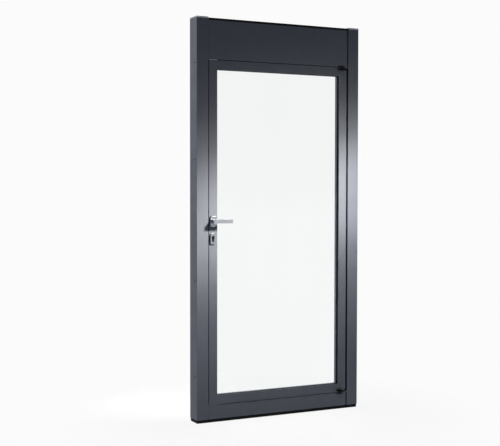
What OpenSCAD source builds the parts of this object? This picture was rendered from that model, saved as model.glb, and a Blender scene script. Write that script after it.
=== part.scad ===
// Glazed aluminium door with its frame: two posts, a lintel panel and a sill carry a
// single leaf on two offset pivots. Millimetres, X to the hinge side, Y inwards, Z up.

/* [Frame] */
// Clear width between the two posts
opening_w = 928; // [850:1:1050]
// Width of each post, seen from the front
post_w = 72; // [60:1:100]
// Depth of the posts, the lintel and the sill
frame_d = 100; // [92:1:140]
// Wall of the frame extrusions
frame_wall = 3; // [2.5:0.1:5]
// Radius of the outer edges of the frame extrusions
edge_r = 1.5; // [0.5:0.1:2.4]
// Height of the seal under the whole frame
base_h = 18; // [10:1:30]
// Setback of the base seal from the frame's front and back faces
base_setback = 3; // [1:0.5:10]
// Height of the sill
sill_h = 80; // [70:1:120]
// Height of the lintel panel
lintel_h = 222; // [120:1:300]
// Height of the seal on top of the lintel
top_seal_h = 12; // [6:1:20]
// Setback of the lintel's top seal from the front and back faces
top_seal_setback = 1; // [0.5:0.5:10]
// Set-back of the packers between the right post and the lintel or the sill
packer_setback = 8; // [3:0.5:12]
// Thickness of the post caps
post_cap_t = 9; // [4:1:15]
// Height of a post cap's top above the lintel's top seal
post_cap_rise = 5; // [2:1:10]
// Length of the plugs that hold the caps in their tubes
cap_plug_l = 8; // [5:0.5:10]
// Clearance of a plug or cleat in its tube, on each side
plug_clear = 0.1; // [0.05:0.05:0.3]

/* [Leaf] */
// Height of the leaf
leaf_h = 1974; // [1800:1:2200]
// Depth of the leaf
leaf_d = 50; // [46:1:56]
// Width of the stiles and rails, seen from the front
profile_face = 52; // [51:0.5:60]
// Width of the glazing rebate in the stiles and rails
rebate_w = 12; // [10:0.5:13]
// Wall of the leaf extrusions
profile_wall = 2; // [1.6:0.1:2.6]
// Width of the lip in front of the glazing
lip_w = 11; // [9:0.5:11.5]
// Depth of the lip in front of the glazing
lip_d = 15; // [10:0.5:18]
// Thickness of the pane
glass_t = 8; // [5:0.5:10]
// Thickness of the gasket on each face of the pane
glazing_gasket_t = 3; // [2:0.5:4]
// Width of the outer gasket's wedge beside the lip
gasket_wedge_w = 2; // [1:0.5:3]
// Depth of the outer gasket's wedge along the lip
gasket_wedge_d = 9; // [4:0.5:9.5]
// Clearance between the pane's edge and the rebate
glass_edge_clear = 3; // [2:0.5:5]
// Wall of the glazing beads
bead_wall = 1.5; // [1:0.1:2.5]
// Length of each setting block under the pane
setting_block_l = 80; // [40:1:120]
// Gap between the leaf and the post on the lock side
lock_gap = 4; // [3.5:0.1:6]
// Gap between the leaf and the post on the hinge side
hinge_gap = 12; // [8:0.5:20]
// Gap above and below the leaf
edge_gap = 4; // [3:0.5:6]
// Thickness of the lock stile's end caps
stile_cap_t = 3; // [2:0.5:4]
// How far the end caps stand beyond the leaf's edges
stile_cap_rise = 2.5; // [0.5:0.5:2.5]
// Length of a corner cleat inside a rail
leaf_cleat_l = 60; // [30:1:120]

/* [Stops] */
// How far the stops reach behind the leaf
stop_lap = 8; // [5:0.5:8.5]
// Clearance between the lock side's stop and the inner rose and escutcheon
rose_stop_clear = 1; // [0.5:0.1:2]
// Depth of the stops
stop_d = 30; // [15:1:36]
// Wall of the stops
stop_wall = 2; // [1.2:0.1:3]
// Thickness of the stop gaskets
gasket_t = 6.6; // [6:0.1:9]
// Clearance between the closed leaf and the stop gaskets
gasket_clear = 0.4; // [0.2:0.1:0.8]
// Thickness of the brush strip on the hinge side stop
brush_t = 1.2; // [0.5:0.1:1.4]

/* [Pivots] */
// Distance of the pivot axis from the leaf's hinge edge
pivot_inset = 24; // [20:0.5:25]
// Distance of the pivot axis in front of the leaf's face
pivot_out = 14; // [14:0.5:20]
// Radius of the pivot lugs
lug_r = 13; // [10:0.5:13.5]
// Extra reach of the pivot plates' lugs along the leaf
lug_reach = 23; // [8:0.5:30]
// Radius of the pivot pins
pin_r = 5; // [3:0.5:6]
// Running clearance of a pin in its bush
pin_clear = 0.05; // [0.02:0.01:0.1]
// Wall of the pivot bushes
bush_wall = 3; // [1.5:0.5:3.5]
// Thickness of the arms on the frame
arm_t = 8; // [6:0.5:12]
// Depth of the arms behind the frame's front face
arm_d = 45; // [30:1:48]
// Gap between an arm and the end of the rail beside it
arm_side_clear = 1; // [0.8:0.1:2]
// Height of the recess beside each arm, in the sill and the lintel
arm_recess_h = 7; // [3:0.5:12]
// Depth of the recess beside each arm
arm_recess_d = 12; // [5:0.5:15]
// Thickness of the pivot plates on the leaf
pivot_plate_t = 10; // [6:0.5:14]
// Gap between an arm and its pivot plate
pivot_gap = 2; // [1.5:0.1:4]
// Free play above the thrust washer
washer_play = 0.15; // [0.1:0.05:0.3]
// Radius of the thrust washer
washer_r = 11; // [9:0.5:12]

/* [Lock] */
// Height of the lever's axis above the leaf's lower edge
handle_h = 1055; // [900:1:1200]
// Distance of the key plug below the lever's axis
key_drop = 92; // [85:1:100]
// Distance of the lock's axes from the leaf's lock edge
backset = 22; // [20:0.5:26.5]
// Thickness of the lock case
case_t = 16; // [15:0.5:20]
// Wall of the lock case
case_wall = 1.2; // [0.8:0.1:1.6]
// Height of the solid ends of the lock case
case_end_h = 14; // [10:1:18]
// Reach of the lock case above the latch and below the dead bolt
case_reach = 20; // [19:1:30]
// Clearance between the lock case and the stile's inner wall
case_clear = 0.2; // [0.1:0.1:0.5]
// Width of the faceplate
faceplate_w = 22; // [21:0.5:26]
// Length of the faceplate beyond each end of the lock case
faceplate_over = 6; // [2:1:15]
// Distance of the latch above the lever's axis
latch_rise = 45; // [36:1:60]
// Height of the latch bolt
latch_h = 16; // [12:0.5:20]
// Thickness of the latch bolt
latch_t = 12; // [8:0.5:12]
// Length of the latch bolt inside the leaf
latch_in = 16; // [10:0.5:18]
// Throw of the latch bolt beyond the leaf's edge
latch_throw = 12; // [9:0.5:14]
// Distance of the dead bolt below the key plug
bolt_drop = 45; // [44:1:60]
// Height of the dead bolt
bolt_h = 30; // [20:0.5:34]
// Thickness of the dead bolt
bolt_t = 10; // [6:0.5:12]
// Length of the dead bolt
bolt_l = 31; // [26:0.5:32]
// Clearance of the sliding bolts in the faceplate, on each side
bolt_clear = 0.3; // [0.2:0.05:0.5]
// Clearance of the sliding bolts in the strike plate and the post, on each side
strike_clear = 1.5; // [1:0.1:3]
// Thickness of the strike plate
strike_t = 2; // [1.2:0.1:2.6]
// Height of the strike plate above the post's face
strike_proud = 0.8; // [0.4:0.1:1]
// Width of the strike plate
strike_w = 24; // [20:0.5:30]
// Reach of the strike plate beyond its two mouths
strike_reach = 22; // [18:1:40]

/* [Handles] */
// Width of the roses and escutcheons
rose_w = 33; // [29:0.5:34]
// Height of the roses and escutcheons
rose_h = 62; // [60:0.5:84]
// Thickness of the roses and escutcheons
rose_t = 8; // [4:0.5:12]
// Radius of the roses' and escutcheons' corners
rose_corner_r = 9; // [4:0.5:14]
// Radius of the roses' and escutcheons' front edges
rose_edge_r = 1; // [0.5:0.5:3]
// Distance of the escutcheons' centres below the key plug's axis
escutcheon_drop = 8; // [0:0.5:10]
// Length of a lever from its axis to its end
lever_l = 109; // [80:1:140]
// Length of a lever behind its axis
lever_heel = 13; // [11:0.5:15]
// Height of a lever's bar
lever_bar_h = 22; // [16:0.5:26]
// Thickness of a lever's bar
lever_bar_t = 12; // [8:0.5:16]
// Corner radius of a lever's bar, seen from the front
lever_bar_r = 4; // [2:0.5:7]
// Corner radius of a lever's bar, seen from above
lever_edge_r = 2.5; // [1:0.5:3.5]
// Radius of the inner corner between a lever's neck and its bar
lever_bend_r = 6; // [2:0.5:10]
// Distance of a lever's bar centre from the leaf's face
lever_out = 40; // [36:0.5:60]
// Gap between a lever's neck and its rose
neck_gap = 1; // [0.5:0.1:2]
// Radius of the collar of a lever's neck, inside its rose
neck_r = 10.5; // [8:0.5:11]
// Clearance of the collar in its rose and off the leaf's face
neck_clear = 0.4; // [0.3:0.1:1]
// Width of the square spindle
spindle_w = 8; // [7:0.5:9]
// Length of the spindle inside each lever
spindle_in = 26; // [15:1:30]
// Radius of the lock's follower
follower_r = 8; // [7:0.1:8.2]
// Clearance of the follower in the lock case
follower_clear = 0.3; // [0.2:0.05:0.5]
// Radius of the grub screws under the levers' necks
grub_r = 2.5; // [1.5:0.5:3]
// Distance of the grub screws from the leaf's faces
grub_out = 20; // [14:0.5:24]

/* [Lock cylinder] */
// Radius of the round part of the lock cylinder
cylinder_r = 8.5; // [8:0.1:9]
// Height of the lock cylinder
cylinder_h = 33; // [30:0.5:34]
// Width of the flat part of the lock cylinder
cylinder_w = 10; // [8:0.1:10.5]
// Projection of the lock cylinder from its escutcheons
cylinder_proud = 3; // [1:0.5:5]
// Clearance around the lock cylinder
cylinder_clear = 0.3; // [0.2:0.05:0.5]
// Radius of the key plug
plug_r = 6; // [5:0.1:6.5]
// Running clearance of the key plug
plug_run = 0.05; // [0.02:0.01:0.1]
// Width of the cam on the key plug
cam_w = 9; // [6:0.5:10]
// Reach of the cam from the plug's axis
cam_r = 10; // [9:0.1:10.3]
// Thickness of the cam's tooth
cam_tooth_t = 4; // [3:0.5:6]
// Play of the cam in the lock cylinder, on each side
cam_play = 0.5; // [0.3:0.1:1]
// Width of the key slot
key_slot_w = 2; // [1:0.5:3]
// Height of the key slot
key_slot_h = 8; // [6:0.5:9]
// Depth of the key slot
key_slot_d = 20; // [10:1:25]

/* [Fixings] */
// Radius of the frame anchor holes through the posts
anchor_r = 5.5; // [4:0.1:7]
// Distance of the anchor holes from the frame's front face
anchor_depth = 30; // [20:1:40]
// Distance of the outer anchor holes from the post's ends
anchor_end = 250; // [120:1:400]
// Distance of the inner anchor holes from the post's ends
anchor_inner = 800; // [600:1:850]
// Radius of the small countersunk screws
screw_r = 2; // [1.5:0.1:2.4]
// Radius of the small screws' heads
screw_head_r = 4; // [3:0.1:4.5]
// Length of the small countersunk screws
screw_l = 14; // [13:0.5:16]
// Distance of the small screws from the ends of the plates they hold
screw_inset = 8; // [6:0.5:9]
// Radius of the cleat screws
cleat_screw_r = 3; // [2:0.1:4]
// Radius of the cleat screws' heads
cleat_head_r = 5; // [4:0.1:6]
// Height of the cleat screws' heads
cleat_head_h = 4; // [2:0.5:5]
// Bite of the cleat screws behind what they clamp
cleat_bite = 6; // [4:0.5:10]
// Height of the leaf's cleat screws above the end of their rail
leaf_cleat_screw_z = 30; // [28:0.5:31]
// Thickness of the frame's cleats
frame_cleat_t = 5; // [3:0.5:8]
// Length of each leg of the frame's cleats
frame_cleat_l = 60; // [30:1:62]
// Depth of the frame's cleats
frame_cleat_d = 80; // [50:1:84]
// Distance between the two screws of a frame cleat
frame_cleat_screws = 50; // [25:1:60]

/* [Hidden] */
$fn = 48;
cut = 1;
open_half = opening_w / 2;
front_y = -frame_d / 2;
back_y = front_y + leaf_d;
sill_z1 = base_h + sill_h;
leaf_z0 = sill_z1 + edge_gap;
leaf_z1 = leaf_z0 + leaf_h;
lintel_z0 = leaf_z1 + edge_gap;
lintel_z1 = lintel_z0 + lintel_h;
seal_z1 = lintel_z1 + top_seal_h;
post_z1 = seal_z1 + post_cap_rise - post_cap_t;
leaf_x0 = -open_half + lock_gap;
leaf_x1 = open_half - hinge_gap;
leaf_w = leaf_x1 - leaf_x0;
box_w = profile_face - rebate_w;
lip_edge = box_w + lip_w;
beam_l = leaf_x1 + open_half;
glass_y0 = front_y + lip_d + glazing_gasket_t;
glass_y1 = glass_y0 + glass_t;
bead_y0 = glass_y1 + glazing_gasket_t;
glass_inset = box_w + glass_edge_clear;
stop_y0 = back_y + gasket_clear + gasket_t;
pivot_x = leaf_x1 - pivot_inset;
pivot_y = front_y - pivot_out;
arm_x0 = leaf_x1 - box_w + arm_side_clear;
bush_r = pin_r + bush_wall;
end_stack = arm_t + pivot_gap + pivot_plate_t - edge_gap;
plate_offset = arm_t + pivot_gap - edge_gap;
stile_cap_seat = stile_cap_t - stile_cap_rise;
lock_x = leaf_x0 + backset;
lock_lap = min(stop_lap, backset - rose_w / 2 - rose_stop_clear);
lock_y = front_y + leaf_d / 2;
handle_z = leaf_z0 + handle_h;
key_z = handle_z - key_drop;
latch_z = handle_z + latch_rise;
bolt_z = key_z - bolt_drop;
faceplate_t = profile_wall;
case_x0 = leaf_x0 + faceplate_t;
case_x1 = leaf_x0 + box_w - profile_wall - case_clear;
case_z0 = bolt_z - bolt_h / 2 - case_reach;
case_z1 = latch_z + latch_h / 2 + case_reach;
face_z0 = case_z0 - faceplate_over;
face_z1 = case_z1 + faceplate_over;
strike_z0 = bolt_z - bolt_h / 2 - strike_reach;
strike_z1 = latch_z + latch_h / 2 + strike_reach;
strike_bed = strike_t - strike_proud;
cylinder_y0 = front_y - rose_t - cylinder_proud;
cylinder_l = leaf_d + 2 * (rose_t + cylinder_proud);
cylinder_screw_z = key_z - cylinder_h + cylinder_r + (cylinder_h - 2 * cylinder_r) / 2;
cylinder_screw_l = backset + cylinder_w / 2;
neck_start = front_y - neck_clear;
anchor_y = front_y + anchor_depth;
frame_screw_rise = frame_wall + (frame_cleat_l + frame_cleat_t) / 2;
cleat_y0 = front_y + lip_d + plug_clear;
cleat_y1 = back_y - profile_wall - plug_clear;
cleat_y = (cleat_y0 + cleat_y1) / 2;
colour_frame = [0.22, 0.24, 0.28];
colour_black = [0.05, 0.05, 0.06];
colour_cap = [0.62, 0.63, 0.65];
colour_steel = [0.72, 0.73, 0.75];
colour_glass = [0.85, 0.92, 0.93, 0.3];

// Box between two corners
module span(low, high) {
    translate(low) cube(high - low);
}

// Rectangle with round corners, centred
module round_rect(w, h, r) {
    square([w - 2 * r, h], center = true);
    square([w, h - 2 * r], center = true);
    for (x = [-1, 1], y = [-1, 1])
        translate([x * (w / 2 - r), y * (h / 2 - r)]) circle(r);
}

// Frame extrusion along Z, centred on its axis
module frame_tube(w, d, l) {
    linear_extrude(l)
        difference() {
            round_rect(w, d, edge_r);
            square([w - 2 * frame_wall, d - 2 * frame_wall], center = true);
        }
}

// Turns an extrusion so that it runs along X, with its section's x along Y and y along Z
module along_x() {
    rotate([90, 0, 90]) children();
}

// Turns an extrusion of an outline in X and Z so that it runs along Y
module along_y() {
    rotate([90, 0, 0]) mirror([0, 0, 1]) children();
}

// Mirrors a piece of the leaf's outer face to its inner face
module on_inner_face() {
    translate([0, 2 * lock_y, 0]) mirror([0, 1, 0]) children();
}

// Copies a piece at the leaf's lower edge to its upper edge
module at_leaf_top() {
    translate([0, 0, leaf_z0 + leaf_z1]) mirror([0, 0, 1]) children();
}

// Copies a piece at the leaf's lock edge to its hinge edge
module at_hinge_edge() {
    translate([leaf_x0 + leaf_x1, 0, 0]) mirror([1, 0, 0]) children();
}

// Countersunk screw along Z, its flat head at z = 0 and its tip below
module countersunk(r, head_r, l) {
    head_h = head_r - r;
    translate([0, 0, -l]) cylinder(r = r, h = l);
    translate([0, 0, -head_h]) cylinder(r1 = r, r2 = head_r, h = head_h);
}

// Cleat screw along X, its head at x below 0 and its shank from x = 0
module cleat_screw(l) {
    translate([-cleat_head_h, 0, 0]) rotate([0, 90, 0]) cylinder(r = cleat_head_r, h = cleat_head_h);
    rotate([0, 90, 0]) cylinder(r = cleat_screw_r, h = l);
}

// Frame posts, their anchor holes and caps

module post_tube() {
    post_l = post_z1 - base_h;
    difference() {
        translate([0, 0, base_h]) frame_tube(post_w, frame_d, post_l);
        for (z = [anchor_end, anchor_inner, post_l - anchor_inner, post_l - anchor_end])
            translate([-post_w / 2 - cut, anchor_y, base_h + z])
                rotate([0, 90, 0]) cylinder(r = anchor_r, h = post_w + 2 * cut);
        translate([post_w / 2, 0, 0])
            frame_screw_places() rotate([0, 90, 0])
                cylinder(r = cleat_screw_r, h = 2 * (frame_wall + cut), center = true);
    }
}

// Places on a post's face for the screws of the lintel's and the sill's cleats
module frame_screw_places() {
    for (y = [-1, 1], z = [base_h + frame_screw_rise, lintel_z1 - frame_screw_rise])
        translate([0, y * frame_cleat_screws / 2, z]) children();
}

module left_post() {
    color(colour_frame)
        difference() {
            translate([-open_half - post_w / 2, 0, 0]) post_tube();
            span([-open_half - strike_bed, lock_y - strike_w / 2, strike_z0],
                 [-open_half + cut, lock_y + strike_w / 2, strike_z1]);
            strike_mouths();
            strike_fixings();
        }
}

module right_post() {
    color(colour_frame)
        translate([open_half + post_w / 2, 0, 0]) mirror([1, 0, 0]) post_tube();
}

module post_cap() {
    plug_w = post_w - 2 * (frame_wall + plug_clear);
    plug_d = frame_d - 2 * (frame_wall + plug_clear);
    translate([0, 0, post_z1]) linear_extrude(post_cap_t) round_rect(post_w, frame_d, edge_r);
    translate([-plug_w / 2, -plug_d / 2, post_z1 - cap_plug_l]) cube([plug_w, plug_d, cap_plug_l]);
}

module left_post_cap() {
    color(colour_cap) translate([-open_half - post_w / 2, 0, 0]) post_cap();
}

module right_post_cap() {
    color(colour_cap) translate([open_half + post_w / 2, 0, 0]) post_cap();
}

// Lintel, sill and their seals

module lintel() {
    color(colour_frame)
        difference() {
            translate([-open_half, 0, (lintel_z0 + lintel_z1) / 2])
                along_x() frame_tube(frame_d, lintel_h, beam_l);
            at_leaf_top() arm_fixings();
            at_leaf_top() arm_recess();
        }
}

module lintel_top_seal() {
    color(colour_black)
        span([-open_half, front_y + top_seal_setback, lintel_z1],
             [open_half, -front_y - top_seal_setback, seal_z1]);
}

module sill() {
    color(colour_frame)
        difference() {
            translate([-open_half, 0, base_h + sill_h / 2])
                along_x() frame_tube(frame_d, sill_h, beam_l);
            arm_fixings();
            arm_recess();
        }
}

module base_seal() {
    color(colour_black)
        span([-open_half - post_w + base_setback, front_y + base_setback, 0],
             [open_half + post_w - base_setback, -front_y - base_setback, base_h]);
}

// Packers that fill the hinge gap at the right ends of the lintel and the sill
module joint_packers() {
    color(colour_frame)
        difference() {
            for (z = [[base_h, sill_z1], [lintel_z0, lintel_z1]])
                span([leaf_x1, front_y + packer_setback, z[0]], [open_half, -front_y, z[1]]);
            translate([leaf_x1 - cut, 0, 0])
                frame_screw_places() rotate([0, 90, 0]) cylinder(r = cleat_screw_r, h = hinge_gap + 2 * cut);
            arm_fixings();
            at_leaf_top() arm_fixings();
        }
}

// Cleats that join the lintel and the sill to the posts

module frame_cleat() {
    difference() {
        union() {
            translate([0, -frame_cleat_d / 2, 0]) cube([frame_cleat_t, frame_cleat_d, frame_cleat_l]);
            translate([0, -frame_cleat_d / 2, 0]) cube([frame_cleat_l, frame_cleat_d, frame_cleat_t]);
        }
        for (y = [-1, 1])
            translate([-cut, y * frame_cleat_screws / 2, (frame_cleat_l + frame_cleat_t) / 2])
                rotate([0, 90, 0]) cylinder(r = cleat_screw_r, h = frame_cleat_t + 2 * cut);
    }
}

module frame_cleats() {
    color(colour_steel)
        for (side = [0, 1]) mirror([side, 0, 0]) {
            beam_end = -open_half + side * hinge_gap;
            translate([beam_end, 0, base_h + frame_wall]) frame_cleat();
            translate([beam_end, 0, lintel_z1 - frame_wall]) mirror([0, 0, 1]) frame_cleat();
        }
}

module frame_screws() {
    color(colour_steel)
        for (side = [0, 1]) mirror([side, 0, 0])
            translate([-open_half + side * hinge_gap + frame_cleat_t, 0, 0])
                frame_screw_places()
                    mirror([1, 0, 0]) cleat_screw(frame_cleat_t + side * hinge_gap + frame_wall + cleat_bite);
}

// Stops behind the leaf

module stop_tube(low, high, axis) {
    wall = [for (i = [0:2]) i == axis ? -cut : stop_wall];
    difference() {
        span(low, high);
        span(low + wall, high - wall);
    }
}

module lock_side_stop() {
    color(colour_frame)
        stop_tube([-open_half, stop_y0, sill_z1],
                  [leaf_x0 + lock_lap, stop_y0 + stop_d, lintel_z0], 2);
}

module hinge_side_stop() {
    color(colour_frame)
        stop_tube([leaf_x1 - stop_lap, stop_y0, sill_z1],
                  [open_half, stop_y0 + stop_d, lintel_z0], 2);
}

module lintel_stop() {
    color(colour_frame)
        stop_tube([leaf_x0 + lock_lap, stop_y0, leaf_z1 - stop_lap],
                  [leaf_x1 - stop_lap, stop_y0 + stop_d, lintel_z0], 0);
}

module sill_stop() {
    color(colour_frame)
        stop_tube([leaf_x0 + lock_lap, stop_y0, sill_z1],
                  [leaf_x1 - stop_lap, stop_y0 + stop_d, leaf_z0 + stop_lap], 0);
}

module stop_gaskets() {
    gasket_y0 = stop_y0 - gasket_t;
    gasket_x1 = pivot_x - pivot_inset - stop_lap;
    color(colour_black) {
        span([leaf_x0, gasket_y0, leaf_z0], [leaf_x0 + lock_lap, stop_y0, leaf_z1]);
        span([leaf_x0 + lock_lap, gasket_y0, leaf_z1 - stop_lap], [gasket_x1, stop_y0, leaf_z1]);
        span([leaf_x0 + lock_lap, gasket_y0, leaf_z0], [gasket_x1, stop_y0, leaf_z0 + stop_lap]);
        span([leaf_x1 - stop_lap, stop_y0 - brush_t, leaf_z0], [leaf_x1, stop_y0, leaf_z1]);
    }
}

// Strike plate in the left post

module strike_mouths() {
    for (m = [[latch_z, latch_h, latch_t], [bolt_z, bolt_h, bolt_t]])
        translate([-open_half, lock_y, m[0]])
            cube([2 * (frame_wall + cut), m[2] + 2 * strike_clear, m[1] + 2 * strike_clear], center = true);
}

module strike_fixings() {
    for (z = [strike_z0 + screw_inset, strike_z1 - screw_inset])
        translate([-open_half + strike_proud, lock_y, z])
            rotate([0, 90, 0]) countersunk(screw_r, screw_head_r, screw_l);
}

module strike_plate() {
    color(colour_steel)
        difference() {
            span([-open_half - strike_bed, lock_y - strike_w / 2, strike_z0],
                 [-open_half + strike_proud, lock_y + strike_w / 2, strike_z1]);
            strike_mouths();
            strike_fixings();
        }
}

module strike_screws() {
    color(colour_steel) strike_fixings();
}

// Pivots: arms on the frame, plates on the leaf

// Plan of a pivot lug, from its round nose back to the frame's front face
module lug_plan() {
    translate([pivot_x, pivot_y]) circle(lug_r);
    translate([pivot_x - lug_r, pivot_y]) square([2 * lug_r, pivot_out]);
}

// Plan of a pivot plate's lug, longer than an arm's along the leaf
module plate_lug_plan() {
    lug_plan();
    translate([-lug_reach, 0]) lug_plan();
    translate([pivot_x - lug_reach, pivot_y - lug_r]) square([lug_reach, lug_r + pivot_out]);
}

// Recess in the sill's front edge below the lugs
module arm_recess() {
    span([pivot_x - lug_r - lug_reach, front_y - cut, sill_z1 - arm_recess_h],
         [pivot_x + lug_r, front_y + arm_recess_d, sill_z1 + cut]);
}

module arm_fixings() {
    for (x = [arm_x0 + screw_inset, open_half - screw_inset])
        translate([x, front_y + arm_d / 2, sill_z1 + arm_t])
            countersunk(screw_r, screw_head_r, screw_l);
}

module pivot_arm() {
    difference() {
        translate([0, 0, sill_z1])
            linear_extrude(arm_t) {
                lug_plan();
                translate([arm_x0, front_y]) square([open_half - arm_x0, arm_d]);
            }
        translate([pivot_x, pivot_y, sill_z1 - cut]) cylinder(r = pin_r, h = arm_t + 2 * cut);
        arm_fixings();
    }
}

module top_pivot_arm() {
    color(colour_frame) at_leaf_top() pivot_arm();
}

module bottom_pivot_arm() {
    color(colour_frame) pivot_arm();
}

module pivot_arm_screws() {
    color(colour_steel) {
        arm_fixings();
        at_leaf_top() arm_fixings();
    }
}

module pivot_pin() {
    translate([pivot_x, pivot_y, sill_z1]) cylinder(r = pin_r, h = arm_t + pivot_gap + pivot_plate_t);
}

module pivot_pins() {
    color(colour_steel) {
        pivot_pin();
        at_leaf_top() pivot_pin();
    }
}

module thrust_washer() {
    color(colour_black)
        translate([pivot_x, pivot_y, sill_z1 + arm_t])
            difference() {
                cylinder(r = washer_r, h = pivot_gap - washer_play);
                translate([0, 0, -cut]) cylinder(r = pin_r + pin_clear, h = pivot_gap + 2 * cut);
            }
}

module pivot_plate() {
    difference() {
        union() {
            translate([0, 0, leaf_z0 + plate_offset])
                linear_extrude(pivot_plate_t) {
                    plate_lug_plan();
                    hinge_edge_plan() profile_plan();
                }
            at_hinge_edge() stile_plug(leaf_z0 + end_stack);
        }
        translate([pivot_x, pivot_y, leaf_z0 + plate_offset - cut])
            cylinder(r = bush_r, h = pivot_plate_t + 2 * cut);
    }
}

module top_pivot_plate() {
    color(colour_black) at_leaf_top() pivot_plate();
}

module bottom_pivot_plate() {
    color(colour_black) pivot_plate();
}

module pivot_bush() {
    translate([pivot_x, pivot_y, leaf_z0 + plate_offset])
        difference() {
            cylinder(r = bush_r, h = pivot_plate_t);
            translate([0, 0, -cut]) cylinder(r = pin_r + pin_clear, h = pivot_plate_t + 2 * cut);
        }
}

module pivot_bushes() {
    color(colour_cap) {
        pivot_bush();
        at_leaf_top() pivot_bush();
    }
}

// Stiles and rails: a box chamber with a lip in front of the glazing rebate

// Outer plan of the lock stile
module profile_plan() {
    translate([leaf_x0, front_y]) {
        square([lip_edge, lip_d]);
        square([box_w, leaf_d]);
    }
}

// Mirrors a plan at the leaf's lock edge to its hinge edge
module hinge_edge_plan() {
    translate([leaf_x0 + leaf_x1, 0]) mirror([1, 0]) children();
}

// Section of the stiles and rails: x from the leaf's edge, y from the leaf's face
module profile_section() {
    difference() {
        union() {
            square([lip_edge, lip_d]);
            square([box_w, leaf_d]);
        }
        translate([profile_wall, profile_wall])
            square([box_w - 2 * profile_wall, leaf_d - 2 * profile_wall]);
        translate([box_w, profile_wall])
            square([lip_w - profile_wall, lip_d - 2 * profile_wall]);
    }
}

module stile(z0, z1) {
    difference() {
        translate([leaf_x0, front_y, z0]) linear_extrude(z1 - z0) profile_section();
        leaf_screw_places() rotate([0, 90, 0])
            cylinder(r = cleat_screw_r, h = 2 * (profile_wall + cut), center = true);
    }
}

// Plug on a stile's end piece, from height z upwards
module stile_plug(z) {
    inset = profile_wall + plug_clear;
    translate([leaf_x0 + inset, front_y + inset, z])
        cube([box_w - 2 * inset, leaf_d - 2 * inset, cap_plug_l]);
}

module lock_stile() {
    color(colour_frame)
        difference() {
            stile(leaf_z0 + stile_cap_seat, leaf_z1 - stile_cap_seat);
            span([leaf_x0 - cut, lock_y - faceplate_w / 2, face_z0],
                 [leaf_x0 + profile_wall + cut, lock_y + faceplate_w / 2, face_z1]);
            translate([lock_x, front_y - cut, handle_z])
                along_y() cylinder(r = follower_r, h = leaf_d + 2 * cut);
            translate([lock_x, front_y - cut, key_z])
                along_y() linear_extrude(leaf_d + 2 * cut) cylinder_outline(cylinder_clear);
        }
}

module hinge_stile() {
    color(colour_frame) at_hinge_edge() stile(leaf_z0 + end_stack, leaf_z1 - end_stack);
}

// Rail between the stiles, its lip notched for the lock stile's lip and for the pivot plate
module rail() {
    long_x0 = leaf_x0 + box_w;
    long_x1 = leaf_x1 - box_w;
    difference() {
        translate([long_x0, front_y, leaf_z0])
            along_x() linear_extrude(long_x1 - long_x0) mirror([1, -1]) profile_section();
        span([long_x0 - cut, front_y - cut, leaf_z0 - cut],
             [long_x0 + lip_w, front_y + lip_d, leaf_z0 + lip_edge + cut]);
        span([long_x1 - lip_w, front_y - cut, leaf_z0 + plate_offset],
             [long_x1 + cut, front_y + lip_d, leaf_z0 + lip_edge + cut]);
    }
}

module top_rail() {
    color(colour_frame) at_leaf_top() rail();
}

module bottom_rail() {
    color(colour_frame) rail();
}

module lock_stile_cap() {
    translate([0, 0, leaf_z0 - stile_cap_rise]) linear_extrude(stile_cap_t) profile_plan();
    stile_plug(leaf_z0 + stile_cap_seat);
}

module lock_stile_top_cap() {
    color(colour_cap) at_leaf_top() lock_stile_cap();
}

module lock_stile_bottom_cap() {
    color(colour_frame) lock_stile_cap();
}

// Cleats that join the rails to the stiles

// Places on the lock stile's inner wall for the screws of the leaf's cleats
module leaf_screw_places() {
    for (z = [leaf_z0 + leaf_cleat_screw_z, leaf_z1 - leaf_cleat_screw_z])
        translate([leaf_x0 + box_w, cleat_y, z]) children();
}

module corner_cleat() {
    inset = profile_wall + plug_clear;
    difference() {
        span([leaf_x0 + box_w, cleat_y0, leaf_z0 + inset],
             [leaf_x0 + box_w + leaf_cleat_l, cleat_y1, leaf_z0 + box_w - inset]);
        translate([leaf_x0 + box_w - cut, cleat_y, leaf_z0 + leaf_cleat_screw_z])
            rotate([0, 90, 0]) cylinder(r = cleat_screw_r, h = cut + cleat_bite);
    }
}

module corner_cleats() {
    color(colour_steel) {
        corner_cleat();
        at_hinge_edge() corner_cleat();
        at_leaf_top() corner_cleat();
        at_leaf_top() at_hinge_edge() corner_cleat();
    }
}

module corner_screw_pair() {
    leaf_screw_places() translate([-profile_wall, 0, 0]) cleat_screw(profile_wall + cleat_bite);
}

module corner_screws() {
    color(colour_steel) {
        corner_screw_pair();
        at_hinge_edge() corner_screw_pair();
    }
}

// Pane, gaskets and beads

module glass_pane() {
    color(colour_glass)
        span([leaf_x0 + glass_inset, glass_y0, leaf_z0 + glass_inset],
             [leaf_x1 - glass_inset, glass_y1, leaf_z1 - glass_inset]);
}

// Flat gasket on a face of the pane, from the pane's edge to an inset from the leaf's edge
module glazing_gasket(y0, inset) {
    difference() {
        span([leaf_x0 + glass_inset, y0, leaf_z0 + glass_inset],
             [leaf_x1 - glass_inset, y0 + glazing_gasket_t, leaf_z1 - glass_inset]);
        span([leaf_x0 + inset, y0 - cut, leaf_z0 + inset],
             [leaf_x1 - inset, y0 + glazing_gasket_t + cut, leaf_z1 - inset]);
    }
}

// Section of the outer gasket's wedge: x from the leaf's edge, y from the leaf's face
module wedge_section() {
    polygon([[lip_edge, lip_d], [lip_edge, lip_d - gasket_wedge_d], [lip_edge + gasket_wedge_w, lip_d]]);
}

module upright_wedge() {
    translate([leaf_x0, front_y, leaf_z0 + lip_edge])
        linear_extrude(leaf_h - 2 * lip_edge) wedge_section();
}

module level_wedge() {
    translate([leaf_x0 + lip_edge, front_y, leaf_z0])
        along_x() linear_extrude(leaf_w - 2 * lip_edge) mirror([1, -1]) wedge_section();
}

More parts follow.
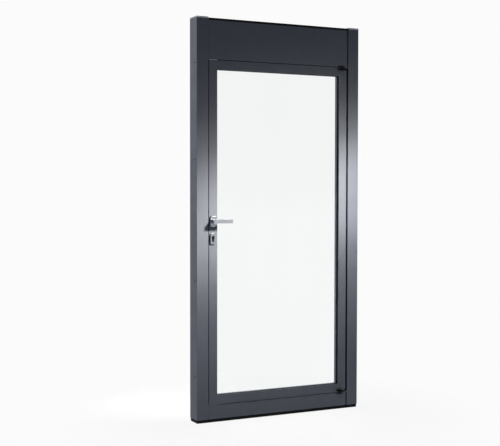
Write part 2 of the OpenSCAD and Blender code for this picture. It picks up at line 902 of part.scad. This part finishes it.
module outer_glazing_gasket() {
    color(colour_black) {
        glazing_gasket(glass_y0 - glazing_gasket_t, lip_edge + gasket_wedge_w);
        upright_wedge();
        at_hinge_edge() upright_wedge();
        level_wedge();
        at_leaf_top() level_wedge();
    }
}

module inner_glazing_gasket() {
    color(colour_black) glazing_gasket(glass_y1, profile_face);
}

module setting_blocks() {
    mid_x = (leaf_x0 + leaf_x1) / 2;
    color(colour_black)
        for (x = [mid_x - leaf_w / 4, mid_x + leaf_w / 4])
            translate([x - setting_block_l / 2, glass_y0, leaf_z0 + box_w])
                cube([setting_block_l, glass_t, glass_edge_clear]);
}

module bead(low, high, axis) {
    wall = [for (i = [0:2]) i == axis ? -cut : bead_wall];
    difference() {
        span(low, high);
        span(low + wall, high - wall);
    }
}

module upright_bead() {
    bead([leaf_x0 + box_w, bead_y0, leaf_z0 + profile_face],
         [leaf_x0 + profile_face, back_y, leaf_z1 - profile_face], 2);
}

module level_bead() {
    bead([leaf_x0 + box_w, bead_y0, leaf_z0 + box_w],
         [leaf_x1 - box_w, back_y, leaf_z0 + profile_face], 0);
}

module left_bead() {
    color(colour_frame) upright_bead();
}

module right_bead() {
    color(colour_frame) at_hinge_edge() upright_bead();
}

module top_bead() {
    color(colour_frame) at_leaf_top() level_bead();
}

module bottom_bead() {
    color(colour_frame) level_bead();
}

// Lock

// Outline of the lock cylinder in X and Z, grown by a clearance
module cylinder_outline(clear) {
    flat_w = cylinder_w + 2 * clear;
    flat_l = cylinder_h - cylinder_r - cylinder_w / 2;
    circle(cylinder_r + clear);
    translate([-flat_w / 2, -flat_l]) square([flat_w, flat_l]);
    translate([0, -flat_l]) circle(flat_w / 2);
}

module bolt_mouths(x0, x1, clear) {
    for (m = [[latch_z, latch_h, latch_t], [bolt_z, bolt_h, bolt_t]])
        span([x0, lock_y - m[2] / 2 - clear, m[0] - m[1] / 2 - clear],
             [x1, lock_y + m[2] / 2 + clear, m[0] + m[1] / 2 + clear]);
}

module faceplate_fixings() {
    for (z = [case_z0 + case_end_h / 2, case_z1 - case_end_h / 2])
        translate([leaf_x0, lock_y, z])
            rotate([0, -90, 0]) countersunk(screw_r, screw_head_r, screw_l);
}

module cylinder_fixing() {
    translate([leaf_x0, lock_y, cylinder_screw_z])
        rotate([0, -90, 0]) countersunk(screw_r, screw_head_r, cylinder_screw_l);
}

module lock_case() {
    color(colour_steel)
        difference() {
            span([case_x0, lock_y - case_t / 2, case_z0], [case_x1, lock_y + case_t / 2, case_z1]);
            span([case_x0 + case_wall, lock_y - case_t / 2 + case_wall, case_z0 + case_end_h],
                 [case_x1 - case_wall, lock_y + case_t / 2 - case_wall, case_z1 - case_end_h]);
            bolt_mouths(case_x0 - cut, case_x0 + case_wall + cut, bolt_clear);
            translate([lock_x, lock_y - case_t / 2 - cut, handle_z])
                along_y() cylinder(r = follower_r + follower_clear, h = case_t + 2 * cut);
            translate([lock_x, lock_y - case_t / 2 - cut, key_z])
                along_y() linear_extrude(case_t + 2 * cut) cylinder_outline(cylinder_clear);
            faceplate_fixings();
            cylinder_fixing();
        }
}

module faceplate() {
    color(colour_steel)
        difference() {
            span([leaf_x0, lock_y - faceplate_w / 2, face_z0],
                 [leaf_x0 + faceplate_t, lock_y + faceplate_w / 2, face_z1]);
            bolt_mouths(leaf_x0 - cut, leaf_x0 + faceplate_t + cut, bolt_clear);
            faceplate_fixings();
            cylinder_fixing();
        }
}

module faceplate_screws() {
    color(colour_steel) faceplate_fixings();
}

module cylinder_screw() {
    color(colour_steel) cylinder_fixing();
}

module lock_cylinder() {
    gap_l = cam_w + 2 * cam_play;
    gap_z = key_z - cam_r - cam_play;
    color(colour_black)
        difference() {
            translate([lock_x, cylinder_y0, key_z])
                along_y() linear_extrude(cylinder_l) cylinder_outline(0);
            translate([lock_x, cylinder_y0 - cut, key_z])
                along_y() cylinder(r = plug_r + plug_run, h = cylinder_l + 2 * cut);
            span([lock_x - cylinder_r - cut, lock_y - gap_l / 2, gap_z],
                 [lock_x + cylinder_r + cut, lock_y + gap_l / 2, key_z + cylinder_r + cut]);
            cylinder_fixing();
        }
}

module cylinder_plug() {
    color(colour_black)
        translate([lock_x, 0, key_z])
            difference() {
                union() {
                    translate([0, cylinder_y0, 0]) along_y() cylinder(r = plug_r, h = cylinder_l);
                    translate([0, lock_y - cam_w / 2, 0]) along_y() cylinder(r = cylinder_r, h = cam_w);
                    translate([-cam_tooth_t / 2, lock_y - cam_w / 2, 0]) cube([cam_tooth_t, cam_w, cam_r]);
                }
                for (y = [cylinder_y0 - cut, cylinder_y0 + cylinder_l - key_slot_d])
                    translate([-key_slot_w / 2, y, -key_slot_h / 2])
                        cube([key_slot_w, key_slot_d + cut, key_slot_h]);
            }
}

module latch_bolt() {
    tip_t = latch_t / 4;
    color(colour_steel)
        translate([leaf_x0, lock_y - latch_t / 2, latch_z - latch_h / 2])
            linear_extrude(latch_h)
                polygon([
                    [latch_in, 0],
                    [latch_in, latch_t],
                    [-lock_gap / 2, latch_t],
                    [-latch_throw, tip_t],
                    [-latch_throw, 0]
                ]);
}

module dead_bolt() {
    color(colour_steel)
        translate([leaf_x0 + bolt_clear, lock_y - bolt_t / 2, bolt_z - bolt_h / 2])
            cube([bolt_l, bolt_t, bolt_h]);
}

// Handles

// Half section of a rose: x from its middle, y from the leaf's face to its round front edge
module rose_section(half) {
    square([half - rose_edge_r, rose_t]);
    square([half, rose_t - rose_edge_r]);
    translate([half - rose_edge_r, rose_t - rose_edge_r]) circle(rose_edge_r);
}

// Straight length of that section, both halves, centred on the rose's middle
module rose_strip(half, length) {
    translate([0, 0, -length / 2])
        linear_extrude(length)
            mirror([0, 1]) {
                rose_section(half);
                mirror([1, 0]) rose_section(half);
            }
}

// Plate with rounded corners on the leaf's outer face, around the lock's axis at height z
module rose_plate(z) {
    corner_x = rose_w / 2 - rose_corner_r;
    corner_z = rose_h / 2 - rose_corner_r;
    translate([lock_x, front_y, z]) {
        for (side = [-1, 1], end = [-1, 1])
            translate([side * corner_x, 0, end * corner_z])
                rotate([90, 0, 0]) rotate_extrude() rose_section(rose_corner_r);
        rose_strip(rose_w / 2, 2 * corner_z);
        rotate([0, 90, 0]) rose_strip(rose_h / 2, 2 * corner_x);
    }
}

module rose() {
    difference() {
        rose_plate(handle_z);
        translate([lock_x, front_y - rose_t - cut, handle_z])
            along_y() cylinder(r = neck_r + neck_clear, h = rose_t + 2 * cut);
    }
}

module escutcheon() {
    difference() {
        rose_plate(key_z - escutcheon_drop);
        translate([lock_x, front_y - rose_t - cut, key_z])
            along_y() linear_extrude(rose_t + 2 * cut) cylinder_outline(cylinder_clear);
    }
}

module outer_rose() {
    color(colour_steel) rose();
}

module inner_rose() {
    color(colour_steel) on_inner_face() rose();
}

module outer_escutcheon() {
    color(colour_steel) escutcheon();
}

module inner_escutcheon() {
    color(colour_steel) on_inner_face() escutcheon();
}

// Plan of a lever: x from its axis, y from the leaf's face
module lever_plan() {
    bar_l = lever_heel + lever_l;
    neck_w = 2 * lever_heel;
    translate([bar_l / 2 - lever_heel, -lever_out]) round_rect(bar_l, lever_bar_t, lever_edge_r);
    translate([-lever_heel, -lever_out]) square([neck_w, lever_out - rose_t - neck_gap]);
    translate([neck_w - lever_heel, lever_bar_t / 2 - lever_out])
        difference() {
            square(lever_bend_r);
            translate([lever_bend_r, lever_bend_r]) circle(lever_bend_r);
        }
}

module lever() {
    bar_l = lever_heel + lever_l;
    reach = lever_out + lever_bar_t / 2;
    collar_y = front_y - rose_t - neck_gap;
    difference() {
        union() {
            intersection() {
                translate([lock_x, front_y, handle_z - lever_bar_h / 2])
                    linear_extrude(lever_bar_h) lever_plan();
                translate([lock_x + bar_l / 2 - lever_heel, front_y - reach, handle_z])
                    along_y() linear_extrude(reach) round_rect(bar_l, lever_bar_h, lever_bar_r);
            }
            translate([lock_x, collar_y, handle_z]) along_y() cylinder(r = neck_r, h = neck_start - collar_y);
        }
        translate([lock_x - spindle_w / 2, neck_start - spindle_in, handle_z - spindle_w / 2])
            cube([spindle_w, spindle_in + cut, spindle_w]);
        grub_screw();
    }
}

module grub_screw() {
    translate([lock_x, front_y - grub_out, handle_z - lever_bar_h / 2])
        cylinder(r = grub_r, h = (lever_bar_h - spindle_w) / 2);
}

module outer_lever() {
    color(colour_steel) lever();
}

module inner_lever() {
    color(colour_steel) on_inner_face() lever();
}

module spindle() {
    spindle_y0 = neck_start - spindle_in;
    color(colour_steel)
        span([lock_x - spindle_w / 2, spindle_y0, handle_z - spindle_w / 2],
             [lock_x + spindle_w / 2, 2 * lock_y - spindle_y0, handle_z + spindle_w / 2]);
}

module follower() {
    color(colour_steel)
        difference() {
            translate([lock_x, lock_y - case_t / 2, handle_z])
                along_y() cylinder(r = follower_r, h = case_t);
            translate([lock_x, lock_y, handle_z])
                cube([spindle_w, case_t + 2 * cut, spindle_w], center = true);
        }
}

module grub_screws() {
    color(colour_black) {
        grub_screw();
        on_inner_face() grub_screw();
    }
}

left_post();
right_post();
left_post_cap();
right_post_cap();
lintel();
lintel_top_seal();
sill();
base_seal();
joint_packers();
lock_side_stop();
hinge_side_stop();
lintel_stop();
sill_stop();
stop_gaskets();
strike_plate();
strike_screws();
top_pivot_arm();
bottom_pivot_arm();
pivot_arm_screws();
pivot_pins();
thrust_washer();
frame_cleats();
frame_screws();
lock_stile();
hinge_stile();
top_rail();
bottom_rail();
lock_stile_top_cap();
lock_stile_bottom_cap();
top_pivot_plate();
bottom_pivot_plate();
pivot_bushes();
corner_cleats();
corner_screws();
glass_pane();
outer_glazing_gasket();
inner_glazing_gasket();
setting_blocks();
left_bead();
right_bead();
top_bead();
bottom_bead();
lock_case();
faceplate();
faceplate_screws();
lock_cylinder();
cylinder_screw();
outer_rose();
inner_rose();
outer_escutcheon();
inner_escutcheon();
outer_lever();
inner_lever();
spindle();
follower();
grub_screws();
latch_bolt();
dead_bolt();
cylinder_plug();
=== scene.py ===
"""Looks for the greenhouse door.

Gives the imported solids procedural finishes, and sets a white studio and a camera at the
photo's place. Every shape of the part comes from its CAD nodes: no piece is added.
"""
import math

import bpy
from mathutils import Matrix, Vector


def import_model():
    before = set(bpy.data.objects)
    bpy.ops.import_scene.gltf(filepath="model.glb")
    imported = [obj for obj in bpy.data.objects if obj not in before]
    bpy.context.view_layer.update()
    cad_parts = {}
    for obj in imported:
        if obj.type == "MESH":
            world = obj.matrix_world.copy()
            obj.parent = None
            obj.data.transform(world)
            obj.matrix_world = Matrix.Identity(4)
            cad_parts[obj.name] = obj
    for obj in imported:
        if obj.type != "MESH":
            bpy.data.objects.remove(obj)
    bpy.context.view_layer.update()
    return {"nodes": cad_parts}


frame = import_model()
nodes = frame["nodes"]
scene = bpy.context.scene


# Colours of the finishes, linear; a pair is the dark and the light end of a drift

COAT = (0.0185, 0.0218, 0.0318), (0.0235, 0.0276, 0.0402)
# paler coat for the edges: partly wear, partly a painted highlight
COAT_WORN_AND_HIGHLIT = (0.075, 0.082, 0.095)
COAT_SHEEN = (0.89, 0.925, 1.0)
RUBBER = (0.0045, 0.0047, 0.0052), (0.0095, 0.0097, 0.0104)
# black lacquer, made extra dark as painted shade so the lock cylinder reads as a shaded hollow
LACQUER_WITH_PAINTED_SHADE = (0.0020, 0.0022, 0.0026), (0.0062, 0.0065, 0.0072)
# painted light: the caps' grey is paled beyond their own colour to make up for the dim light at
# the top of the frame
CAP_GREY_PAINTED_LIGHT = (0.74, 0.75, 0.77), (0.82, 0.83, 0.85)
NYLON = (0.48, 0.47, 0.43), (0.56, 0.55, 0.51)
GLASS = (0.955, 0.975, 0.968), (0.972, 0.984, 0.980)
GLASS_SHADOW = (0.93, 0.96, 0.95)
SATIN_STEEL = (0.43, 0.44, 0.465), (0.49, 0.50, 0.525)
ZINC_STEEL = (0.44, 0.45, 0.46), (0.58, 0.59, 0.60)
ROSE_STEEL = (0.54, 0.55, 0.58), (0.61, 0.625, 0.655)
# painted shade: near black for the plates' sides, where it stands in for their dark sides and the
# shadow beside them
ROSE_PAINTED_SHADE = (0.0022, 0.0023, 0.0026)

# Sizes of the finishes

WORN_AND_HIGHLIT_EDGE = 0.0018                 # m, reach of the paler edges, partly wear and partly painted highlight
BRUSH_LINES = (90, 1600, 1600)     # stretch of the grain: lines along X
ZINC_GRAIN = (500, 500, 500)
FLOAT_DRAW = (1, 1, 0.25)          # the glass drifts slowest along Z
LEAF_MID_Y = -0.025                # m, middle of the leaf's depth
PAINTED_SHADE_TOP = 0.0312             # m from there: the black band of painted shade ends
ROSE_COVER = 0.0315                # m from there: the steel cover begins


# Node helpers: t is a node tree, and an input is an output socket, a number or a colour

def plug(t, node, inputs):
    """Links outputs to a node's inputs, and sets numbers and colours on them."""
    for name, x in inputs.items():
        socket = node.inputs[name]
        if isinstance(x, bpy.types.NodeSocket):
            t.links.new(x, socket)
        else:
            socket.default_value = (*x, 1) if socket.type == "RGBA" else x


def add(t, kind, inputs, output, **settings):
    """Adds a node with its settings and inputs, and returns the named output."""
    n = t.nodes.new("ShaderNode" + kind)
    for key, x in settings.items():
        setattr(n, key, x)
    plug(t, n, inputs)
    return n.outputs[output]


def empty_tree(owner, output):
    """Leaves a material or world with its output node alone."""
    owner.use_nodes = True
    t = owner.node_tree
    t.nodes.clear()
    return t, t.nodes.new(output)


def new_material(name):
    """A node material with a bare Principled shader on its output."""
    m = bpy.data.materials.new(name)
    t, out = empty_tree(m, "ShaderNodeOutputMaterial")
    shader = t.nodes.new("ShaderNodeBsdfPrincipled")
    plug(t, out, {"Surface": shader.outputs["BSDF"]})
    return m, t, shader, out


def object_space(t, stretch=None):
    """Coordinates in metres in the part's own frame, stretched per axis where asked."""
    place = add(t, "TexCoord", {}, "Object")
    if stretch is None:
        return place
    return add(t, "Mapping", {"Vector": place, "Scale": stretch}, "Vector")


def noise(t, vector, scale, detail, rough=0.5):
    inputs = {"Vector": vector, "Scale": scale, "Detail": detail, "Roughness": rough}
    return add(t, "TexNoise", inputs, "Fac")


def spread(t, value, to, of=(0.3, 0.7)):
    """Maps one range of value to another, and holds it at the ends."""
    inputs = {"Value": value, "From Min": of[0], "From Max": of[1],
              "To Min": to[0], "To Max": to[1]}
    return add(t, "MapRange", inputs, "Result")


def drift(t, value, tones, start=0.3, end=0.7):
    """Goes from the dark tone to the light one as value rises from start to end."""
    r = t.nodes.new("ShaderNodeValToRGB")
    for stop, position, tone in zip(r.color_ramp.elements, (start, end), tones):
        stop.position = position
        stop.color = (*tone, 1)
    plug(t, r, {"Fac": value})
    return r.outputs["Color"]


def blend(t, factor, a, b, kind="FLOAT"):
    """a where factor is 0 and b where it is 1; kind is FLOAT or RGBA."""
    return add(t, "Mix", {"Factor": factor, "A": a, "B": b}, "Result", data_type=kind)


def calc(t, operation, *values):
    """A Math node on one or two values."""
    return add(t, "Math", dict(enumerate(values)), "Value", operation=operation)


def bump(t, height, strength, distance):
    inputs = {"Height": height, "Strength": strength, "Distance": distance}
    return add(t, "Bump", inputs, "Normal")


# Finishes

def frame_coat():
    """Satin anthracite powder coat: fine orange peel, slow drift, and paler edges that are partly
    wear and partly a painted highlight.
    """
    m, t, shader, _ = new_material("frame_coat")
    v = object_space(t)
    tone = drift(t, noise(t, v, scale=2.3, detail=4), COAT)
    rounded = add(t, "Bevel", {"Radius": WORN_AND_HIGHLIT_EDGE}, "Normal", samples=4)
    flat = add(t, "NewGeometry", {}, "Normal")
    same = add(t, "VectorMath", {0: rounded, 1: flat}, "Value", operation="DOT_PRODUCT")
    edge = spread(t, same, to=(1.0, 0.0), of=(0.80, 0.985))
    patchy = spread(t, noise(t, v, scale=38, detail=3), to=(0.15, 0.6), of=(0.4, 0.65))
    # paler edges: partly wear, partly a painted highlight along every edge
    worn_and_highlit = calc(t, "MULTIPLY", edge, patchy)
    plug(t, shader, {
        "Base Color": blend(t, worn_and_highlit, tone, COAT_WORN_AND_HIGHLIT, "RGBA"),
        "Roughness": spread(t, noise(t, v, scale=11, detail=3), to=(0.52, 0.60)),
        "IOR": 1.72,
        "Specular IOR Level": 1.0,
        "Specular Tint": COAT_SHEEN,
        "Normal": bump(t, noise(t, v, scale=420, detail=2), strength=0.08, distance=0.0004),
    })
    return m


def seal_rubber():
    """Black EPDM: dull, with a fine extruded grain and a little bloom."""
    m, t, shader, _ = new_material("seal_rubber")
    v = object_space(t)
    plug(t, shader, {
        "Base Color": drift(t, noise(t, v, scale=9, detail=4), RUBBER, end=0.75),
        "Roughness": spread(t, noise(t, v, scale=60, detail=3), to=(0.72, 0.88)),
        "Specular IOR Level": 0.2,
        "Normal": bump(t, noise(t, v, scale=900, detail=2), strength=0.15, distance=0.0003),
    })
    return m


def black_metal():
    """Black satin lacquer over steel, with faint dust in the grain; its extra-dark tone is also
    painted shade, so the lock cylinder reads as a shaded hollow in the keyhole.
    """
    m, t, shader, _ = new_material("black_metal")
    v = object_space(t)
    plug(t, shader, {
        "Base Color": drift(t, noise(t, v, scale=30, detail=4), LACQUER_WITH_PAINTED_SHADE, end=0.75),
        "Roughness": spread(t, noise(t, v, scale=80, detail=3), to=(0.46, 0.58)),
        "Specular IOR Level": 0.10,
        "Normal": bump(t, noise(t, v, scale=700, detail=2), strength=0.08, distance=0.0003),
    })
    return m


def moulded(name, tones, rough):
    """Moulded plastic with a fine spark-eroded grain."""
    m, t, shader, _ = new_material(name)
    v = object_space(t)
    plug(t, shader, {
        "Base Color": drift(t, noise(t, v, scale=14, detail=3), tones),
        "Roughness": spread(t, noise(t, v, scale=45, detail=2), to=(rough - 0.05, rough + 0.07)),
        "Normal": bump(t, noise(t, v, scale=1300, detail=1), strength=0.12, distance=0.0002),
    })
    return m


def clear_glass():
    """Float glass: clear, faintly green, with the float line's slow draw. Lamps shine through."""
    m, t, shader, out = new_material("clear_glass")
    v = object_space(t, FLOAT_DRAW)
    plug(t, shader, {
        "Base Color": drift(t, noise(t, v, scale=3, detail=2), GLASS),
        "Roughness": spread(t, noise(t, v, scale=5, detail=3), to=(0.0, 0.012), of=(0.45, 0.8)),
        "Transmission Weight": 1.0,
        "IOR": 1.5,
    })
    shadow = add(t, "LightPath", {}, "Is Shadow Ray")
    clear = add(t, "BsdfTransparent", {"Color": GLASS_SHADOW}, "BSDF")
    inputs = {"Fac": shadow, 1: shader.outputs["BSDF"], 2: clear}
    plug(t, out, {"Surface": add(t, "MixShader", inputs, "Shader")})
    return m


def brushed(name, tones, rough, grain, depth):
    """Metal with a fine grain; grain is the stretch of its noise per axis."""
    m, t, shader, _ = new_material(name)
    line = noise(t, object_space(t, grain), scale=1.0, detail=3, rough=0.6)
    plug(t, shader, {
        "Base Color": drift(t, noise(t, object_space(t), scale=22, detail=3), tones),
        "Roughness": spread(t, line, to=(rough - 0.05, rough + 0.06)),
        "Metallic": 1.0,
        "Normal": bump(t, line, strength=depth, distance=0.0001),
    })
    return m


def rose_steel():
    """Brushed steel cover, with a near-black band of painted shade along the plate's sides that
    stands in for their dark sides and the shadow beside them.
    """
    m = brushed("rose_steel", ROSE_STEEL, 0.24, BRUSH_LINES, 0.10)
    t = m.node_tree
    shader = next(n for n in t.nodes if n.type == "BSDF_PRINCIPLED")
    steel = shader.inputs["Base Color"].links[0].from_socket
    y = add(t, "SeparateXYZ", {"Vector": object_space(t)}, "Y")
    out_from_mid = calc(t, "ABSOLUTE", calc(t, "ADD", y, -LEAF_MID_Y))
    # painted shade on the plate's sides near the leaf, steel further out
    cover = spread(t, out_from_mid, to=(0.0, 1.0), of=(PAINTED_SHADE_TOP, ROSE_COVER))
    plug(t, shader, {
        "Base Color": blend(t, cover, ROSE_PAINTED_SHADE, steel, "RGBA"),
        "Metallic": cover,
        "Specular IOR Level": 0.06,
    })
    return m


finishes = {
    "frame_coat": frame_coat(),
    "seal_rubber": seal_rubber(),
    # the caps' pale grey holds painted light for the top of the frame
    "cap_grey": moulded("cap_grey", CAP_GREY_PAINTED_LIGHT, 0.45),
    "clear_glass": clear_glass(),
    "satin_steel": brushed("satin_steel", SATIN_STEEL, 0.315, BRUSH_LINES, 0.10),
    "black_metal": black_metal(),
    "zinc_steel": brushed("zinc_steel", ZINC_STEEL, 0.36, ZINC_GRAIN, 0.05),
    "bush_nylon": moulded("bush_nylon", NYLON, 0.5),
}


def dress(o):
    """Swaps each carried-over material for the finish of the same name."""
    for s in o.material_slots:
        key = s.material.name.split(".")[0] if s.material else ""
        if key in finishes:
            s.material = finishes[key]


for o in nodes.values():
    dress(o)
rose_finish = rose_steel()
for name in ("outer_rose", "inner_rose", "outer_escutcheon", "inner_escutcheon"):
    for s in nodes[name].material_slots:
        s.material = rose_finish


# Camera at the photo's place, from a fit to the door's edges

IMAGE_WIDTH = 500                             # pixels
FOCAL = 1033.9                                # pixels
SENSOR = 36                                   # mm
CAMERA_AT = (-2.8589, -5.4422, 1.3519)
CAMERA_TURN = (26.250, 1.976, -0.070)         # degrees: to the right, down, roll


def photo_camera():
    """The camera that took the photo: turned right, tilted down, then rolled."""
    yaw, pitch, roll = (math.radians(a) for a in CAMERA_TURN)
    ahead = Vector((math.sin(yaw), math.cos(yaw), 0))
    right = Vector((math.cos(yaw), -math.sin(yaw), 0))
    down = Vector((0, 0, -1))
    look = ahead * math.cos(pitch) + down * math.sin(pitch)
    below = down * math.cos(pitch) - ahead * math.sin(pitch)
    side = right * math.cos(roll) + below * math.sin(roll)
    below = below * math.cos(roll) - right * math.sin(roll)
    d = bpy.data.cameras.new("camera")
    d.sensor_width = SENSOR
    d.lens = FOCAL / IMAGE_WIDTH * SENSOR
    o = bpy.data.objects.new("camera", d)
    scene.collection.objects.link(o)
    turn = Matrix((side, -below, -look)).transposed()
    o.matrix_world = Matrix.Translation(CAMERA_AT) @ turn.to_4x4()
    scene.camera = o


photo_camera()


# Stage and light

COOL = (0.93, 0.985, 1.09)         # tint of the studio's bounced light
WARM = (1.03, 1.0, 0.945)          # tint of the key
WHITE = (1, 1, 1)
BACKDROP = 0.965                   # level of the white that the camera sees
FILL = 0.25                        # level of the studio's diffuse light
SWEEP = (0.02, 1.0)                # level in reflections: in front of the door, behind it
SWEEP_Y = (-0.18, 0.35)            # from here to there along the direction's Y
GROUND = (0.70, 0.0)               # level in reflections: below the horizon, above it
GROUND_Z = (-0.03, 0.01)
FLOOR_HALF = 6.0                   # m
FLOOR_FADE = (0.7, 1.4)            # m from the door's middle: shade fades to backdrop
FLOOR_GLOW = 0.90                  # level near the door
FLOOR_SHADE = 0.075                # diffuse level near the door, which takes the shadow
FLOOR_GLOSS = 0.7                  # share of the glow that reflections show

KEY_AT = (1.1112, -1.8638, 2.8585)
KEY_RADIUS = 0.24                  # m
KEY_POOLS = {
    # target, watts, cone in degrees, breadth of the pool per height, tilt in radians
    "key": ((0.0, -0.05, 1.2), 1700, 8.6, 4.2, -0.204),
    "key_soft": ((0.144, -0.05, 1.097), 740, 23.1, 3.67, -0.185),
    "key_wide": ((0.082, -0.05, 0.0), 125, 70.3, 2.72, -0.143),
}
OVERHEAD_AT, OVERHEAD_TARGET = (0.0, 0.9, 4.4), (0, 0, 0.9)
OVERHEAD_SIZE, OVERHEAD_WATTS = (3.0, 2.0), 40


def light_path(t, output):
    return add(t, "LightPath", {}, output)


def seen_directly(t):
    """1 for what the camera sees, also through glass, and 0 for other light."""
    return calc(t, "MAXIMUM", light_path(t, "Is Camera Ray"), light_path(t, "Is Transmission Ray"))


def floor():
    """A white floor with a soft shadow near the door, which fades into the backdrop."""
    me = bpy.data.meshes.new("floor")
    r = FLOOR_HALF
    me.from_pydata([(-r, -r, 0), (r, -r, 0), (r, r, 0), (-r, r, 0)], [], [(0, 1, 2, 3)])
    o = bpy.data.objects.new("floor", me)
    scene.collection.objects.link(o)
    m = bpy.data.materials.new("floor_white")
    t, out = empty_tree(m, "ShaderNodeOutputMaterial")
    reach = add(t, "VectorMath", {0: object_space(t)}, "Value", operation="LENGTH")
    direct = seen_directly(t)
    gloss = spread(t, light_path(t, "Is Glossy Ray"), to=(0.0, FLOOR_GLOSS), of=(0.0, 1.0))
    seen = calc(t, "MAXIMUM", direct, gloss)
    level = calc(t, "MULTIPLY", seen, spread(t, reach, (FLOOR_GLOW, BACKDROP), FLOOR_FADE))
    tint = blend(t, direct, COOL, WHITE, "RGBA")
    glow = add(t, "Emission", {"Color": tint, "Strength": level}, "Emission")
    shade = spread(t, reach, (FLOOR_SHADE, 0.0), FLOOR_FADE)
    lit = add(t, "BsdfDiffuse", {"Color": shade}, "BSDF")
    plug(t, out, {"Surface": add(t, "AddShader", {0: glow, 1: lit}, "Shader")})
    me.materials.append(m)
    return o


def world():
    """Dim in front of the door and white behind it; white for the camera and through glass."""
    w = bpy.data.worlds.new("studio")
    scene.world = w
    t, out = empty_tree(w, "ShaderNodeOutputWorld")
    way = add(t, "TexCoord", {}, "Generated")
    sweep = spread(t, add(t, "SeparateXYZ", {"Vector": way}, "Y"), SWEEP, SWEEP_Y)
    ground = spread(t, add(t, "SeparateXYZ", {"Vector": way}, "Z"), GROUND, GROUND_Z)
    shine = calc(t, "MAXIMUM", sweep, ground)
    direct = seen_directly(t)
    bounced = blend(t, light_path(t, "Is Glossy Ray"), FILL, shine)
    tint = blend(t, direct, COOL, WHITE, "RGBA")
    level = blend(t, direct, bounced, BACKDROP)
    back = add(t, "Background", {"Color": tint, "Strength": level}, "Background")
    plug(t, out, {"Surface": back})


def new_lamp(name, kind, watts):
    d = bpy.data.lights.new(name, kind)
    d.energy = watts
    o = bpy.data.objects.new(name, d)
    scene.collection.objects.link(o)
    return o, d


def spot(name, target, watts, cone, breadth, tilt, receivers):
    """A soft key spot with an oval pool, tilted about the spot's own axis."""
    o, d = new_lamp(name, "SPOT", watts)
    d.color = WARM
    d.spot_size = math.radians(cone)
    d.spot_blend = 1.0
    d.shadow_soft_size = KEY_RADIUS
    ahead = (Vector(target) - Vector(KEY_AT)).normalized()
    u = ahead.cross(Vector((0, 0, 1))).normalized()
    v = u.cross(ahead)
    x = u * math.cos(tilt) + v * math.sin(tilt)
    y = v * math.cos(tilt) - u * math.sin(tilt)
    turn = Matrix((x * breadth, y, -ahead)).transposed()
    o.matrix_world = Matrix.Translation(KEY_AT) @ turn.to_4x4()
    o.light_linking.receiver_collection = receivers
    o.visible_transmission = False


def panel(name, at, target, size, watts):
    """A plain rectangular softbox."""
    o, d = new_lamp(name, "AREA", watts)
    d.shape = "RECTANGLE"
    d.size, d.size_y = size
    o.location = at
    o.rotation_mode = "QUATERNION"
    o.rotation_quaternion = (Vector(target) - Vector(at)).to_track_quat("-Z", "Y")


# The key leaves out the floor, which would clip to white in its pool
off_floor = bpy.data.collections.new("off_floor")
off_floor.objects.link(floor())
off_floor.collection_objects[0].light_linking.link_state = "EXCLUDE"
world()
for name, pool in KEY_POOLS.items():
    spot(name, *pool, off_floor)
panel("overhead", OVERHEAD_AT, OVERHEAD_TARGET, OVERHEAD_SIZE, OVERHEAD_WATTS)

scene.view_settings.view_transform = "Standard"
